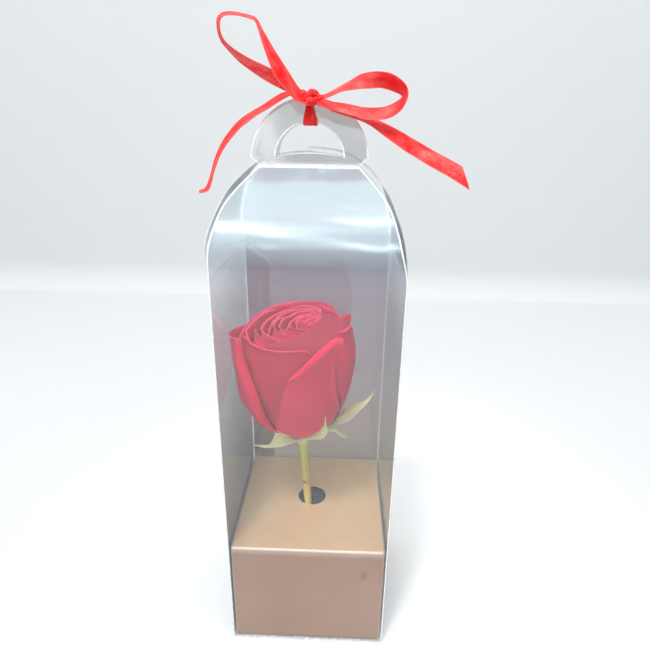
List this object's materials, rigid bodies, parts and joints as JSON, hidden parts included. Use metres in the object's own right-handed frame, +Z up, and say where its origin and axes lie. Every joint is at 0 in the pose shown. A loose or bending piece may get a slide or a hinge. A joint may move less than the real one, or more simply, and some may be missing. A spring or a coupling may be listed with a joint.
{
  "type": "rose in a clear gift carrier box",
  "caption": "Cut red rose standing in a tall clear folding carrier box with a ring handle, held in a foil card platform, with a satin ribbon bow.",
  "frame": {"origin": "middle of the box's base, on the surface it stands on", "axes": "+Z up, +Y to the back of the box, +X to its right seen from the front"},
  "size_m": [0.1088, 0.075, 0.2839],
  "materials": {
    "clear_film": "gloss",
    "foil_card": "satin",
    "floral_foam": "matte",
    "stem": "satin",
    "sepal": "satin",
    "petal": "satin",
    "ribbon": "satin"
  },
  "bodies": {
    "root": {"front_panel": "clear_film", "back_panel": "clear_film", "left_panel": "clear_film", "right_panel": "clear_film", "left_tongue": "clear_film", "right_tongue": "clear_film", "handle_front": "clear_film", "handle_back": "clear_film", "glue_flap": "clear_film", "bottom_panel": "clear_film", "dust_flap_left": "clear_film", "dust_flap_right": "clear_film", "card_platform": "foil_card", "foam_block": "floral_foam", "stem": "stem", "hip": "sepal", "petal_01": "petal", "petal_02": "petal", "petal_03": "petal", "petal_04": "petal", "petal_05": "petal", "petal_06": "petal", "petal_07": "petal", "petal_08": "petal", "petal_09": "petal", "petal_10": "petal", "petal_11": "petal", "petal_12": "petal", "petal_13": "petal", "petal_14": "petal", "petal_15": "petal", "petal_16": "petal", "petal_17": "petal", "petal_18": "petal", "petal_19": "petal", "petal_20": "petal", "petal_21": "petal", "petal_22": "petal", "petal_23": "petal", "petal_24": "petal", "petal_25": "petal", "petal_26": "petal", "sepal_1": "sepal", "sepal_2": "sepal", "sepal_3": "sepal", "sepal_4": "sepal", "sepal_5": "sepal", "ribbon_loop_left": "ribbon", "ribbon_loop_right": "ribbon", "ribbon_tail_right": "ribbon", "ribbon_tail_left": "ribbon", "ribbon_knot": "ribbon", "ribbon_band": "ribbon"}
  },
  "joints": []
}
